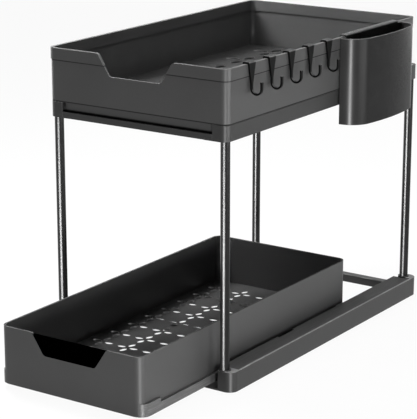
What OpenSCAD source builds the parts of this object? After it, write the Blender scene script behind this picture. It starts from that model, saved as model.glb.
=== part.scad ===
// Two-tier pull-out cabinet basket. A floor frame carries four posts and an upper
// frame, a basket slides in each frame, and five hooks and a cup hang on the upper
// basket's right rim. Each frame is two C-shaped side rails joined by bars.
// X runs across to the right, Y to the back and Z up.

/* [Base frame] */
// Width across the base frame
base_w = 236; // [226:1:260]
// Depth of the base frame
base_d = 400; // [380:1:430]
// Height of the base frame's top edge above the ground
base_h = 22; // [21:0.5:24]
// Corner radius of the base frame, seen from above
base_corner_r = 10; // [6:0.5:12]
// Width of the floor ledge of each base rail
base_ledge_w = 34; // [32:0.5:40]
// Width of the cover strip of each base rail
base_cover_w = 24; // [22:0.5:25]
// Height of the bar across the back of the base
back_bar_h = 10; // [6:0.5:16]
// Length by which the bars across the floor lie on the ledges
bar_lap = 4; // [2:0.5:4]
// Width of the two bars across the floor
cross_bar_w = 18; // [10:1:24]
// Thickness of the two bars across the floor
cross_bar_t = 4.7; // [3:0.1:5]
// Distance of the front cross bar ahead of the middle
cross_bar_front = 70.5; // [40:0.5:120]
// Distance of the back cross bar behind the middle
cross_bar_back = 33.5; // [0:0.5:120]

/* [Rails of both frames] */
// Thickness of the rails' outer walls
rail_wall = 2.5; // [2:0.1:3]
// Thickness of the rails' floor ledges
ledge_t = 2; // [1.8:0.1:2.5]
// Thickness of the rails' cover strips
cover_t = 2.5; // [2:0.1:3]
// Height of the outer lip above the cover strip
lip_h = 0.8; // [0.4:0.1:1.2]
// Width of the bars across the back of both frames
back_bar_w = 10; // [6:0.5:10]
// Length of a corner block, front to back
corner_l = 15; // [14:0.5:17]
// Width of a corner block of the base
base_corner_w = 18; // [17:0.5:20]

/* [Feet] */
// Diameter of a foot pad
foot_d = 14; // [10:0.5:18]
// Thickness of a foot pad
foot_t = 1.5; // [1.2:0.1:1.8]
// Height by which the foot pads stand out below the base
foot_out = 0.5; // [0.4:0.1:0.8]
// Distance of a foot pad from the side of the base
foot_in_x = 17; // [14:0.5:22]
// Distance of a foot pad from the end of the base
foot_in_y = 50; // [35:1:90]

/* [Posts] */
// Diameter of a post
post_d = 9.8; // [9:0.1:10.2]
// Wall of the post tube
post_wall = 1; // [0.8:0.1:1.5]
// Distance of a post's middle from the side of the upper frame
post_in_x = 6.5; // [6:0.1:7]
// Distance of a post's middle from the end of the upper frame
post_in_y = 8; // [7.5:0.1:9]
// Wall around a post socket
socket_wall = 1.6; // [1.2:0.1:1.7]
// Thickness under a post socket
socket_floor = 3; // [2.6:0.1:4]
// Height of the collar around a post
collar_h = 1; // [0.6:0.1:1.5]
// Depth of a post socket in the upper frame
top_socket_depth = 12; // [8:0.5:13]
// Length of the plugs in the post ends
plug_l = 12; // [8:0.5:20]
// Diameter of the screws' threads
screw_d = 3.4; // [3:0.1:4]
// Diameter of the screws' heads
screw_head_d = 7.6; // [6.4:0.1:8]
// Height of the screws' heads
screw_head_h = 1.3; // [1:0.1:1.6]
// Length of the screws under the head
screw_l = 10; // [7:0.5:11]

/* [Upper frame] */
// Clear height between the base and the upper frame
clear_h = 239.5; // [220:0.5:280]
// Distance of the upper frame's sides in from the sides of the base
top_in = 7; // [6:0.5:7.5]
// Distance of the posts and the upper frame ahead of the base
top_ahead = 1.5; // [0:0.5:3]
// Height of the upper frame
top_h = 16.5; // [15.5:0.5:20]
// Corner radius of the upper frame, seen from above
top_corner_r = 8; // [5:0.5:10]
// Width of the floor ledge of each upper rail
top_ledge_w = 27; // [25:0.5:30]
// Width of the cover strip and corner blocks of the upper frame
top_cover_w = 17; // [15:0.5:17]
// Height of the bar across the front of the upper frame
front_bar_h = 7.5; // [5:0.5:8]
// Depth of the bar across the front of the upper frame
front_bar_w = 9; // [6:0.5:12]
// Bevel along the front bar's upper edge
front_bar_bevel = 1; // [0.5:0.1:2]

/* [Baskets] */
// Thickness of the basket walls
basket_wall = 2.2; // [1.8:0.1:2.6]
// Thickness of the perforated floors
floor_t = 1.2; // [1:0.1:1.6]
// Outer corner radius of the baskets
basket_r = 9; // [6:0.5:12]
// Corner radius at the edges of the front notch
notch_r = 5; // [3:0.5:8]
// Width of the front notch at the rim
notch_w = 93; // [80:1:110]
// Width of the front notch at its bottom
notch_low_w = 64.6; // [50:0.5:74]

/* [Lower basket] */
// Distance of the lower basket's front ahead of the base when it is pushed in
lower_ahead = 7; // [-3:1:7]
// Height of the lower basket
lower_h = 62; // [50:0.5:110]
// Height of the lower basket's edge above the ground
lower_z = 6; // [5.6:0.1:8]
// Height from the lower basket's edge to its floor surface
lower_floor = 7; // [5:0.5:12]
// Depth of the lower front notch
lower_notch = 22; // [15:0.5:30]
// Distance by which the lower basket is pulled out as shown
pulled = 109; // [60:1:140]
// Full travel of the lower basket
lower_travel = 211; // [190:1:230]

/* [Upper basket] */
// Overhang of the upper basket's rim past the sides of the upper frame
rim_over = 1; // [0.5:0.1:2]
// Distance of the rim's back end ahead of the upper frame's back
rim_short = 10.5; // [9.5:0.5:20]
// Height of the upper basket
upper_h = 56.2; // [45:0.5:100]
// Height of the rim band
rim_h = 12; // [8:0.5:16]
// Step of the rim band inside and outside
rim_step = 0.8; // [0.4:0.1:1.2]
// Height from the upper basket's edge to its floor surface
upper_floor = 2.7; // [2.2:0.1:6]
// Depth of the upper front notch
upper_notch = 23; // [15:0.5:30]
// Distance of the basket rim ahead of the upper frame
rim_ahead = 0.5; // [0.2:0.1:2]
// Distance of the dark skirt panel behind the frame's front
skirt_in = 4; // [3:0.5:5]
// Thickness of the skirt panel
skirt_t = 2; // [1.6:0.1:2.5]
// Full travel of the upper basket
upper_travel = 210; // [190:1:230]

/* [Runners] */
// Thickness of the lower runner strips
lower_runner_t = 3; // [2.5:0.1:3.5]
// Height of the lower runner strips
lower_runner_h = 9; // [7:0.5:10]
// Length of the raised front end of a lower runner
nose_l = 29; // [20:1:40]
// Height of the raised front end of a lower runner
nose_h = 13.5; // [11:0.5:15]
// Gap between a lower runner and the cover strip
lower_side_gap = 2.5; // [1.5:0.1:3]
// Thickness of the upper runner strips
upper_runner_t = 4.5; // [3.5:0.1:6]
// Height of the upper runner strips below the basket's edge
upper_runner_h = 6.8; // [5:0.1:7]
// Gap between an upper runner and the cover strip
upper_side_gap = 1.5; // [1:0.1:2.5]
// Length of the guide shoes at the runners' back ends
shoe_l = 15; // [10:0.5:20]
// Distance of the shoes from the back of the basket
shoe_in = 8; // [6:0.5:12]
// Reach of a shoe under the cover strip
shoe_reach = 5.5; // [4:0.1:6]
// Length of a stop clip
clip_l = 30; // [20:0.5:40]
// Depth of the slot that holds a stop clip
clip_slot = 3; // [2:0.1:4]
// Thickness of a stop clip inside the rail
clip_t = 5; // [4:0.1:6]
// Length of the glide pads under the lower basket
pad_l = 15; // [8:0.5:25]
// Distance of the glide pads from the front of the base
pad_in = 10; // [6:0.5:30]

/* [Floor pattern] */
// Length and width of a petal in the lower floor
lower_petal = [11.4, 6.6];
// Distance of the lower petals from the middle of their cross
lower_petal_out = 7.9; // [7.4:0.1:8.5]
// Spacing of the lower crosses across and front to back
lower_pitch = [33, 31.7];
// Plain margin round the lower crosses at the sides and the ends
lower_margin = [6, 14];
// Distance of the lower crosses behind the middle of the floor
lower_cross_back = 6.5; // [0:0.5:8]
// Length and width of a petal in the upper floor
upper_petal = [21, 10];
// Distance of the upper petals from the middle of their cross
upper_petal_out = 13.5; // [12.5:0.1:15]
// Spacing of the upper crosses across and front to back
upper_pitch = [60, 60];
// Plain margin round the upper crosses at the sides and the ends
upper_margin = [14, 14];
// Distance of the upper crosses behind the middle of the floor
upper_cross_back = 7; // [0:0.5:10]

/* [Hooks] */
// Distance of the first hook from the rim's front
hook_first = 42; // [30:0.5:48]
// Distance of the last hook from the cup
hook_to_cup = 25.4; // [15:0.1:60]
// Thickness of the hook strap
hook_t = 2; // [1.6:0.1:2.4]
// Width of the strap over the rim
hook_w = 12; // [9:0.5:16]
// Width of the strap at the curl
hook_low_w = 3; // [2.4:0.1:5]
// Inner radius of the curl
hook_r = 4.9; // [3.5:0.1:7]
// Height of the curl's middle below the rim
hook_drop = 25; // [20:0.5:40]
// Height of the tip above the curl's middle
hook_tip = 7.4; // [5:0.1:12]
// Length of the leg inside the rim
hook_leg = 12; // [8:0.5:20]
// Clearance between the hooks or cup and the rim
hang_gap = 0.3; // [0.2:0.05:0.5]

/* [Cup] */
// Length of the cup along the basket
cup_l = 134; // [100:1:150]
// Reach of the cup out from the basket's rim
cup_reach = 29; // [27:0.5:45]
// Height of the cup below the basket's rim
cup_h = 94; // [60:1:110]
// Wall of the cup
cup_wall = 2; // [1.6:0.1:2.5]
// Radius of the cup's two outer corners, seen from above
cup_corner_r = 24; // [15:0.5:26]
// Radius of the cup's slightly bulging front
cup_bulge_r = 300; // [200:10:600]
// Distance of the cup from the rim's back end
cup_from_back = 39; // [30:0.5:50]
// Length of the lip that hangs on the rim
cup_lip_l = 116; // [60:1:120]
// Height of the lip inside the rim
cup_lip_h = 12; // [8:0.5:20]
// Height of the cup's rim below the basket's rim
cup_below = 0.5; // [0.2:0.1:4]

/* [Hidden] */
$fn = 64;

hook_count = 5;

// clearances
cut = 1;
fit_gap = 0.05;
slide_gap = 0.3;
stop_gap = 1;
thread_gap = 0.1;
arc_steps = 16;

// levels of the base, from the ground up
ledge_top = foot_out + ledge_t;
cover_top = base_h - lip_h;
cover_under = cover_top - cover_t;
socket_z = foot_out + socket_floor;
foot_pocket = foot_t - foot_out;

// levels of the upper frame
top_z = base_h + clear_h;
top_ledge_top = top_z + ledge_t;
top_end = top_z + top_h;
top_cover_under = top_end - cover_t;
top_socket_end = top_z + top_socket_depth;

// plan of the base
side_x = base_w / 2;
end_y = base_d / 2;
cover_x = side_x - base_cover_w;
ledge_x = side_x - base_ledge_w;
block_x = side_x - base_corner_w;

// plan of the upper frame
top_w = base_w - 2 * top_in;
top_d = base_d;
top_side_x = top_w / 2;
top_front_y = -top_d / 2 - top_ahead;
top_cover_x = top_side_x - top_cover_w;
top_ledge_x = top_side_x - top_ledge_w;

// posts
post_r = post_d / 2;
post_l = top_socket_end - socket_z;
post_x = top_side_x - post_in_x;
post_y = [top_front_y + post_in_y, top_front_y + top_d - post_in_y];
collar_r = post_r + socket_wall;
screw_recess = screw_head_h + slide_gap;

// lower basket
lower_x = cover_x - lower_side_gap - lower_runner_t;
lower_shut_back = end_y - back_bar_w - stop_gap;
lower_back = lower_shut_back - pulled;
lower_front = -end_y - lower_ahead - pulled;
lower_d = lower_back - lower_front;
lower_mid = (lower_front + lower_back) / 2;
lower_top = lower_z + lower_h;
lower_shoe_front = lower_back - shoe_in - shoe_l;
lower_clip_back = lower_shoe_front + pulled - lower_travel - stop_gap;

// upper basket
upper_front = top_front_y - rim_ahead;
upper_back = top_front_y + top_d - rim_short;
upper_mid = (upper_front + upper_back) / 2;
rim_x = top_side_x + rim_over;
rim_w = 2 * rim_x;
rim_d = upper_back - upper_front;
rim_in_x = rim_x - basket_wall - 2 * rim_step;
upper_body_x = rim_x - rim_step;
upper_z = top_end + slide_gap;
rim_top = upper_z + upper_h;
upper_floor_under = upper_z + upper_floor - floor_t;
skirt_z = top_z + front_bar_h + slide_gap;
skirt_y = top_front_y + skirt_in;
upper_runner_x = top_cover_x - upper_side_gap;
upper_shoe_front = upper_back - shoe_in - shoe_l;
upper_clip_back = upper_shoe_front - upper_travel - stop_gap;

// hooks and cup
hang_x = rim_x + hang_gap;
hang_in_x = rim_in_x - hang_gap;
hang_z = rim_top + hang_gap;
cup_mid = upper_back - cup_from_back - cup_l / 2;
cup_front = cup_mid - cup_l / 2;
hook_first_y = upper_front + hook_first;
hook_pitch = (cup_front - hook_to_cup - hook_first_y) / (hook_count - 1);
cup_out_x = hang_x + cup_reach;
cup_top = rim_top - cup_below;
cup_z = rim_top - cup_h;

// middle of the whole object's footprint box, which is the origin
mid_x = (cup_out_x - side_x) / 2;
mid_y = (lower_front + end_y) / 2;

module placed() {
    translate([-mid_x, -mid_y, 0]) children();
}

module both_sides() {
    children();
    mirror([1, 0, 0]) children();
}

module at_rail_posts(z) {
    for (y = post_y) translate([post_x, y, z]) children();
}

module at_posts(z) {
    both_sides() at_rail_posts(z) children();
}

// upright slab over a rectangle from one corner to the other
module slab(x0, x1, y0, y1, z0, z1) {
    translate([x0, y0, z0]) cube([x1 - x0, y1 - y0, z1 - z0]);
}

module rounded_rect(w, d, r) {
    square([w - 2 * r, d], center = true);
    square([w, d - 2 * r], center = true);
    for (sx = [-1, 1], sy = [-1, 1])
        translate([sx * (w / 2 - r), sy * (d / 2 - r)]) circle(r);
}

// upright prism over a rounded rectangle
module rounded_block(w, d, r, z0, z1) {
    translate([0, 0, z0]) linear_extrude(z1 - z0) rounded_rect(w, d, r);
}

// points of an arc about a centre, without its ends where skip is 1
function arc(centre, r, from, sweep, skip = 0) = [
    for (i = [skip : arc_steps - skip])
        let (angle = from + sweep * i / arc_steps)
        centre + r * [cos(angle), sin(angle)]
];

function unit(v) = v / norm(v);
function heading(v) = atan2(v.y, v.x);
function wrapped(angle) = angle > 180 ? angle - 360 : angle < -180 ? angle + 360 : angle;

// points of the arc that rounds the corner b between a and c
function corner_arc(a, b, c, r) =
    let (
        u = unit(a - b),
        v = unit(c - b),
        half = acos(u * v) / 2,
        reach = r / tan(half),
        centre = b + unit(u + v) * r / sin(half),
        from = heading(b + u * reach - centre),
        to = heading(b + v * reach - centre)
    )
    arc(centre, r, from, wrapped(to - from));

// outline of a grip notch, from the notch's bottom up past the rim
module notch_outline(depth) {
    high = notch_w / 2;
    low = notch_low_w / 2;
    far = high + 2 * notch_r;
    path = concat(
        corner_arc([-far, depth], [-high, depth], [-low, 0], notch_r),
        corner_arc([-high, depth], [-low, 0], [low, 0], notch_r),
        corner_arc([-low, 0], [low, 0], [high, depth], notch_r),
        corner_arc([low, 0], [high, depth], [far, depth], notch_r)
    );
    last = path[len(path) - 1];
    polygon(concat([[path[0].x, depth + cut]], path, [[last.x, depth + cut]]));
}

module notch_cut(front, depth, top, thickness) {
    translate([0, front + thickness + cut, top - depth])
        rotate([90, 0, 0])
            linear_extrude(thickness + 2 * cut) notch_outline(depth);
}

// outline of one leaf-shaped petal along X, where two circles overlap
module petal(size) {
    r = (size.x * size.x + size.y * size.y) / (4 * size.y);
    intersection() {
        translate([0, r - size.y / 2]) circle(r);
        translate([0, size.y / 2 - r]) circle(r);
    }
}

// four-petal crosses in as many columns and rows as fit an area inside its margins
module crosses(area, margin, pitch, petal_size, petal_out) {
    reach = petal_out + petal_size.x / 2;
    count = [for (n = [0, 1])
        floor((area[n] - 2 * margin[n] - 2 * reach) / pitch[n]) + 1];
    for (i = [0 : count.x - 1], j = [0 : count.y - 1])
        translate([(i - (count.x - 1) / 2) * pitch.x, (j - (count.y - 1) / 2) * pitch.y])
            for (turn = [0 : 90 : 270])
                rotate(turn) translate([petal_out, 0]) petal(petal_size);
}

// floor panel with its perforations, at its own middle
module floor_panel(w, d, r, crosses_back) {
    linear_extrude(floor_t) difference() {
        rounded_rect(w, d, r);
        translate([0, crosses_back]) children();
    }
}

// screw with its head at the bottom and its thread pointing up
module screw() {
    cylinder(d = screw_head_d, h = screw_head_h);
    cylinder(d = screw_d, h = screw_head_h + screw_l);
}

// slot in the right rail's cover strip that holds a stop clip
module clip_pocket(x, back, z0, z1) {
    slab(x - cut, x + clip_slot, back - clip_l, back, z0, z1);
}

// stop clip on the right rail, seated on the ledge, with a tab in the cover's slot
module stop_clip(x, back, z0, z1, tab_top) {
    front = back - clip_l + slide_gap;
    slab(x + slide_gap, x + slide_gap + clip_t, front, back - slide_gap, z0, z1);
    slab(x + slide_gap, x + clip_slot - slide_gap, front, back - slide_gap, z1, tab_top);
}

// right rail of the base, with its floor ledge, outer wall, cover strip, corner
// blocks and post sockets
module base_rail() {
    difference() {
        union() {
            intersection() {
                rounded_block(base_w, base_d, base_corner_r, foot_out, base_h);
                union() {
                    slab(ledge_x, side_x, -end_y, end_y, foot_out, ledge_top);
                    slab(block_x, side_x, end_y - corner_l, end_y, foot_out, base_h);
                    slab(block_x, side_x, -end_y, corner_l - end_y, foot_out, base_h);
                    difference() {
                        slab(block_x, side_x, -end_y, end_y, foot_out, base_h);
                        rounded_block(base_w - 2 * rail_wall, base_d - 2 * rail_wall,
                            base_corner_r - rail_wall, foot_out - cut, base_h + cut);
                    }
                    slab(cover_x, side_x, corner_l - end_y, end_y - corner_l,
                        cover_under, cover_top);
                }
            }
            at_rail_posts(foot_out) cylinder(r = collar_r, h = base_h + collar_h - foot_out);
        }
        at_rail_posts(socket_z) cylinder(r = post_r + fit_gap, h = base_h);
        at_rail_posts(foot_out - cut)
            cylinder(d = screw_d + 2 * thread_gap, h = socket_floor + 2 * cut);
        at_rail_posts(foot_out - cut)
            cylinder(d = screw_head_d + 2 * slide_gap, h = screw_recess + cut);
        at_rail_feet(foot_out - cut) cylinder(d = foot_d + 2 * fit_gap, h = foot_pocket + cut);
        clip_pocket(cover_x, lower_clip_back, cover_under - cut, cover_top + cut);
    }
}

module base_rail_right() { placed() color("#4a4a4c") base_rail(); }
module base_rail_left() { placed() color("#4a4a4c") mirror([1, 0, 0]) base_rail(); }

// bars across the back and the floor of the base, whose ends lie on the ledges
module base_bars() {
    bar_x = ledge_x + bar_lap;
    placed() color("#4a4a4c") difference() {
        union() {
            slab(-block_x, block_x, end_y - back_bar_w, end_y, foot_out, back_bar_h);
            for (y = [-cross_bar_front, cross_bar_back])
                slab(-bar_x, bar_x, y - cross_bar_w / 2, y + cross_bar_w / 2,
                    foot_out, foot_out + cross_bar_t);
        }
        both_sides() slab(ledge_x, side_x, -end_y - cut, end_y + cut, foot_out - cut, ledge_top);
        at_posts(foot_out - cut) cylinder(r = collar_r + fit_gap, h = base_h);
    }
}

module at_rail_feet(z) {
    for (sy = [-1, 1]) translate([side_x - foot_in_x, sy * (end_y - foot_in_y), z]) children();
}

module at_feet(z) {
    both_sides() at_rail_feet(z) children();
}

module foot_pads() {
    placed() color("#202022") at_feet(0) cylinder(d = foot_d, h = foot_t);
}

// pads on the base ledges that the lower basket's side walls glide on
module glide_pads() {
    front = -end_y + corner_l + pad_in;
    placed() color("#303032") both_sides()
        slab(ledge_x + slide_gap, lower_x + lower_runner_t, front, front + pad_l,
            ledge_top, lower_z - slide_gap);
}

module lower_stop_clips() {
    placed() color("#18181a") both_sides()
        stop_clip(cover_x, lower_clip_back, ledge_top, cover_under, cover_top);
}

module post(side, row) {
    placed() color("#2c2c30") translate([side * post_x, post_y[row], socket_z])
        difference() {
            cylinder(r = post_r, h = post_l);
            translate([0, 0, -cut]) cylinder(r = post_r - post_wall, h = post_l + 2 * cut);
        }
}

module post_front_left() { post(-1, 0); }
module post_front_right() { post(1, 0); }
module post_back_left() { post(-1, 1); }
module post_back_right() { post(1, 1); }

// plug that fills a post's end and takes the screw
module post_plug() {
    difference() {
        cylinder(r = post_r - post_wall - fit_gap, h = plug_l);
        translate([0, 0, -cut]) cylinder(d = screw_d + 2 * thread_gap, h = plug_l + 2 * cut);
    }
}

module lower_post_plugs() {
    placed() color("#8a8a8c") at_posts(socket_z) post_plug();
}

module upper_post_plugs() {
    placed() color("#8a8a8c") at_posts(top_socket_end - plug_l) post_plug();
}

module base_screws() {
    placed() color("#b8b8ba") at_posts(foot_out + screw_recess - screw_head_h) screw();
}

module top_screws() {
    placed() color("#b8b8ba")
        at_posts(top_end - screw_recess + screw_head_h) mirror([0, 0, 1]) screw();
}

// right rail of the upper frame, with its floor ledge, outer wall, cover strip,
// corner blocks and post sockets
module upper_rail() {
    difference() {
        translate([0, -top_ahead, 0]) intersection() {
            rounded_block(top_w, top_d, top_corner_r, top_z, top_end);
            union() {
                slab(top_ledge_x, top_side_x, -top_d / 2, top_d / 2, top_z, top_ledge_top);
                for (sy = [0, 1]) mirror([0, sy, 0])
                    slab(top_cover_x, top_side_x, top_d / 2 - corner_l, top_d / 2, top_z, top_end);
                difference() {
                    slab(top_cover_x, top_side_x, -top_d / 2, top_d / 2, top_z, top_end);
                    rounded_block(top_w - 2 * rail_wall, top_d - 2 * rail_wall,
                        top_corner_r - rail_wall, top_z - cut, top_end + cut);
                }
                slab(top_cover_x, top_side_x, -top_d / 2, top_d / 2, top_cover_under, top_end);
            }
        }
        at_rail_posts(top_z - cut) cylinder(r = post_r + fit_gap, h = top_socket_depth + cut);
        at_rail_posts(top_z) cylinder(d = screw_d + 2 * thread_gap, h = top_h + cut);
        at_rail_posts(top_end - screw_recess)
            cylinder(d = screw_head_d + 2 * slide_gap, h = screw_recess + cut);
        clip_pocket(top_cover_x, upper_clip_back, top_cover_under - cut, top_end + cut);
    }
}

module upper_rail_right() { placed() color("#48484a") upper_rail(); }
module upper_rail_left() { placed() color("#48484a") mirror([1, 0, 0]) upper_rail(); }

// bars across the front and the back of the upper frame, whose ends lie on the ledges
module upper_bars() {
    placed() color("#48484a") difference() {
        translate([0, -top_ahead, 0]) {
            slab(-top_cover_x, top_cover_x, top_d / 2 - back_bar_w, top_d / 2, top_z, top_end);
            front_bar();
        }
        both_sides() slab(top_ledge_x, top_side_x, top_front_y - cut, top_front_y + top_d + cut,
            top_z - cut, top_ledge_top);
    }
}

// bar across the front of the upper frame, with a bevelled upper edge
module front_bar() {
    y = -top_d / 2;
    translate([-top_cover_x, 0, 0]) rotate([90, 0, 90]) linear_extrude(2 * top_cover_x)
        polygon([
            [y, top_z],
            [y + front_bar_w, top_z],
            [y + front_bar_w, top_z + front_bar_h],
            [y + front_bar_bevel, top_z + front_bar_h],
            [y, top_z + front_bar_h - front_bar_bevel]
        ]);
}

module upper_stop_clips() {
    placed() color("#18181a") both_sides()
        stop_clip(top_cover_x, upper_clip_back, top_ledge_top, top_cover_under, top_end);
}

module lower_basket() {
    placed() color("#4c4c4e") translate([0, lower_mid, 0]) {
        difference() {
            rounded_block(2 * lower_x, lower_d, basket_r, lower_z, lower_top);
            rounded_block(2 * (lower_x - basket_wall), lower_d - 2 * basket_wall,
                basket_r - basket_wall, lower_z - cut, lower_top + cut);
            notch_cut(-lower_d / 2, lower_notch, lower_top, basket_wall);
        }
        translate([0, 0, lower_z + lower_floor - floor_t])
            floor_panel(2 * lower_x - basket_wall, lower_d - basket_wall,
                basket_r - basket_wall / 2, lower_cross_back)
                    crosses([2 * (lower_x - basket_wall), lower_d - 2 * basket_wall],
                        lower_margin, lower_pitch, lower_petal, lower_petal_out);
    }
}

// raised front end of the right lower runner, which wraps round the basket's corner
module lower_nose(out_x) {
    corner = lower_front + basket_r;
    top = lower_z + nose_h;
    intersection() {
        translate([0, lower_mid, 0])
            rounded_block(2 * out_x, lower_d, basket_r + lower_runner_t, lower_z, top);
        union() {
            slab(lower_x, out_x, corner, lower_front + nose_l, lower_z, top);
            difference() {
                slab(lower_x - basket_r / 2, out_x, lower_front, corner, lower_z, top);
                translate([0, lower_mid, 0]) rounded_block(2 * (lower_x + fit_gap), lower_d,
                    basket_r + fit_gap, lower_z - cut, top + cut);
            }
        }
    }
}

// runner strip on the lower basket's right side, with its nose at the front and a
// guide shoe at the back that runs under the cover strip
module lower_runner() {
    out_x = lower_x + lower_runner_t;
    lower_nose(out_x);
    slab(lower_x, out_x, lower_front + basket_r + lower_runner_t, lower_back - basket_r,
        lower_z, lower_z + lower_runner_h);
    slab(lower_x, cover_x + shoe_reach, lower_shoe_front, lower_shoe_front + shoe_l,
        ledge_top + slide_gap, cover_under - slide_gap);
}

module lower_runner_right() { placed() color("#5a5a5c") lower_runner(); }
module lower_runner_left() { placed() color("#5a5a5c") mirror([1, 0, 0]) lower_runner(); }

module upper_basket() {
    placed() color("#505052") translate([0, upper_mid, 0]) {
        difference() {
            union() {
                rounded_block(2 * upper_body_x, rim_d - 2 * rim_step, basket_r - rim_step,
                    upper_z, rim_top);
                rounded_block(rim_w, rim_d, basket_r, rim_top - rim_h, rim_top);
            }
            difference() {
                rounded_block(2 * (upper_body_x - basket_wall),
                    rim_d - 2 * (rim_step + basket_wall),
                    basket_r - rim_step - basket_wall, upper_z - cut, rim_top + cut);
                rim_inner_band();
            }
            notch_cut(-rim_d / 2, upper_notch, rim_top, basket_wall + 2 * rim_step);
        }
        translate([0, 0, upper_floor_under])
            floor_panel(2 * upper_body_x - basket_wall, rim_d - 2 * rim_step - basket_wall,
                basket_r - rim_step - basket_wall / 2, upper_cross_back)
                    crosses([2 * (upper_body_x - basket_wall),
                            rim_d - 2 * (rim_step + basket_wall)],
                        upper_margin, upper_pitch, upper_petal, upper_petal_out);
        translate([0, -upper_mid, 0])
            slab(-upper_runner_x, upper_runner_x, skirt_y, skirt_y + skirt_t,
                skirt_z, upper_floor_under + floor_t / 2);
    }
}

// the rim's step on the inside of the walls
module rim_inner_band() {
    difference() {
        rounded_block(rim_w, rim_d, basket_r, rim_top - rim_h, rim_top);
        rounded_block(2 * rim_in_x, rim_d - 2 * (rim_x - rim_in_x),
            basket_r - rim_x + rim_in_x, rim_top - rim_h - cut, rim_top + cut);
    }
}

// runner strip under the upper basket's right side, with its guide shoe
module upper_runner() {
    in_x = upper_runner_x - upper_runner_t;
    slab(in_x, upper_runner_x, skirt_y + skirt_t, upper_shoe_front + shoe_l,
        upper_z - upper_runner_h, upper_floor_under);
    slab(in_x, top_cover_x + shoe_reach, upper_shoe_front, upper_shoe_front + shoe_l,
        top_ledge_top + slide_gap, top_cover_under - slide_gap);
}

module upper_runner_right() { placed() color("#3a3a3c") upper_runner(); }
module upper_runner_left() { placed() color("#3a3a3c") mirror([1, 0, 0]) upper_runner(); }

module quarter_disc(r, turn) {
    rotate(turn) intersection() {
        circle(r);
        square(r);
    }
}

module plate(x0, x1, z0, z1) {
    polygon([[x0, z0], [x1, z0], [x1, z1], [x0, z1]]);
}

// strap bent over the rim, seen from the side, with a leg down the rim's inside
module over_rim(t, leg) {
    plate(hang_in_x - t, hang_in_x, hang_z - leg, hang_z);
    plate(hang_in_x, hang_x, hang_z, hang_z + t);
    translate([hang_in_x, hang_z]) quarter_disc(t, 90);
    translate([hang_x, hang_z]) quarter_disc(t, 0);
}

// side view of a hook over the rim: X out from the basket, Y up
module hook_profile() {
    curl_z = hang_z - hook_drop;
    curl_x = hang_x + hook_t + hook_r;
    tip_x = curl_x + hook_r;
    tip_z = curl_z + hook_tip - hook_t / 2;
    over_rim(hook_t, hook_leg);
    plate(hang_x, hang_x + hook_t, curl_z, hang_z);
    translate([curl_x, curl_z]) difference() {
        circle(hook_r + hook_t);
        circle(hook_r);
        translate([-hook_r - hook_t - cut, 0]) square(2 * (hook_r + hook_t + cut));
    }
    plate(tip_x, tip_x + hook_t, curl_z, tip_z);
    translate([tip_x + hook_t / 2, tip_z]) circle(hook_t / 2);
}

// front view of the hook strap, which narrows from the rim down to the curl
module hook_strap() {
    low_z = hang_z - hook_drop;
    bottom = low_z - hook_r - hook_t - cut;
    narrow_z = low_z + hook_r;
    top = hang_z + hook_t + cut;
    polygon([
        [-hook_low_w / 2, bottom],
        [hook_low_w / 2, bottom],
        [hook_low_w / 2, narrow_z],
        [hook_w / 2, hang_z],
        [hook_w / 2, top],
        [-hook_w / 2, top],
        [-hook_w / 2, hang_z],
        [-hook_low_w / 2, narrow_z]
    ]);
}

module hook(number) {
    y = hook_first_y + (number - 1) * hook_pitch;
    far = hang_x + 2 * (hook_t + hook_r) + cut;
    near = hang_in_x - hook_t - cut;
    placed() color("#2a2a2c") translate([0, y, 0]) intersection() {
        translate([0, hook_w / 2, 0]) rotate([90, 0, 0]) linear_extrude(hook_w) hook_profile();
        translate([near, 0, 0]) rotate([90, 0, 90]) linear_extrude(far - near) hook_strap();
    }
}

module hook_1() { hook(1); }
module hook_2() { hook(2); }
module hook_3() { hook(3); }
module hook_4() { hook(4); }
module hook_5() { hook(5); }

// plan of the cup, drawn in by a wall: flat against the basket, bulging outwards
module cup_plan(inset) {
    corner_y = cup_l / 2 - cup_corner_r;
    bulge_x = cup_out_x - cup_bulge_r;
    spread = sqrt(pow(cup_bulge_r - cup_corner_r, 2) - corner_y * corner_y);
    turn = acos(spread / (cup_bulge_r - cup_corner_r));
    corner_x = bulge_x + spread;
    small = cup_corner_r - inset;
    large = cup_bulge_r - inset;
    back = cup_l / 2 - inset;
    intersection() {
        polygon(concat(
            [[hang_x - cut, -back]],
            arc([corner_x, -corner_y], small, -90, 90 - turn),
            arc([bulge_x, 0], large, -turn, 2 * turn, skip = 1),
            arc([corner_x, corner_y], small, turn, 90 - turn),
            [[hang_x - cut, back]]
        ));
        translate([hang_x + inset, -cup_l / 2]) square([cup_reach, cup_l]);
    }
}

// lip that hangs the cup on the basket's rim
module cup_lip() {
    translate([0, cup_lip_l / 2, 0]) rotate([90, 0, 0]) linear_extrude(cup_lip_l) {
        over_rim(cup_wall, cup_lip_h);
        plate(hang_x, hang_x + cup_wall, cup_top - cup_lip_h, hang_z);
    }
}

module cup() {
    placed() color("#4e4e50") translate([0, cup_mid, 0]) {
        difference() {
            translate([0, 0, cup_z]) linear_extrude(cup_top - cup_z) cup_plan(0);
            translate([0, 0, cup_z + cup_wall]) linear_extrude(cup_h) cup_plan(cup_wall);
        }
        cup_lip();
    }
}

base_rail_left();
base_rail_right();
base_bars();
foot_pads();
glide_pads();
lower_stop_clips();
post_front_left();
post_front_right();
post_back_left();
post_back_right();
lower_post_plugs();
upper_post_plugs();
base_screws();
top_screws();
upper_rail_left();
upper_rail_right();
upper_bars();
upper_stop_clips();
lower_basket();
lower_runner_left();
lower_runner_right();
upper_basket();
upper_runner_left();
upper_runner_right();
hook_1();
hook_2();
hook_3();
hook_4();
hook_5();
cup();
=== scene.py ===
"""Looks of the two-tier pull-out cabinet basket.

Every length in the classes is in millimetres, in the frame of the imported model,
and is turned into metres where a mesh is made. X runs to the right, Y to the back
and Z up. The lower basket is shown pulled out.
"""

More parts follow.
